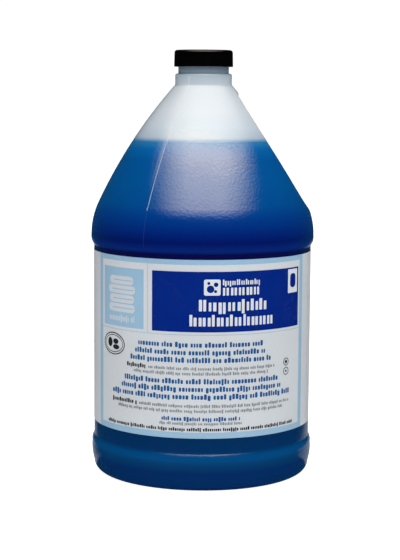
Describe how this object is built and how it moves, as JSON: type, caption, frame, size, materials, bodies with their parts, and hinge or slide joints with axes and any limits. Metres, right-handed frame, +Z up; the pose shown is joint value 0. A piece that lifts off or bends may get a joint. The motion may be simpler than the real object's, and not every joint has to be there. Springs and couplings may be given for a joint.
{
  "type": "round gallon jug with screw cap",
  "caption": "Round blow-moulded jug with cone shoulder, hollow side handle and screw cap, wrap label, part filled with blue liquid detergent.",
  "frame": {"origin": "centre of the flat standing ring, on the surface the jug stands on", "axes": "+Z up along the neck, +Y towards the integral handle, X across the parting plane"},
  "size_m": [0.1566, 0.1564, 0.2958],
  "materials": {
    "natural_polyethylene": "satin",
    "blue_detergent": "gloss",
    "label_film": "satin",
    "black_cap": "satin",
    "liner_foam": "matte"
  },
  "bodies": {
    "bottle": {"bottle_shell": "natural_polyethylene", "wrap_label": "label_film", "detergent_fill": "blue_detergent"},
    "liner": {"cap_liner": "liner_foam"},
    "cap": {"screw_cap": "black_cap"}
  },
  "joints": [
    {"name": "cap_rise", "type": "slide", "parent": "bottle", "child": "liner", "axis": [0, 0, 1], "range_m": [0, 0.0128]},
    {"name": "cap_turn", "type": "hinge", "parent": "liner", "child": "cap", "pos_m": [0, 0, 0.29], "axis": [0, 0, 1], "range_deg": [0, 1080]}
  ],
  "couplings": [
    {"joint": "cap_rise", "follows": "cap_turn", "m_per_rad": 0.00067376}
  ]
}
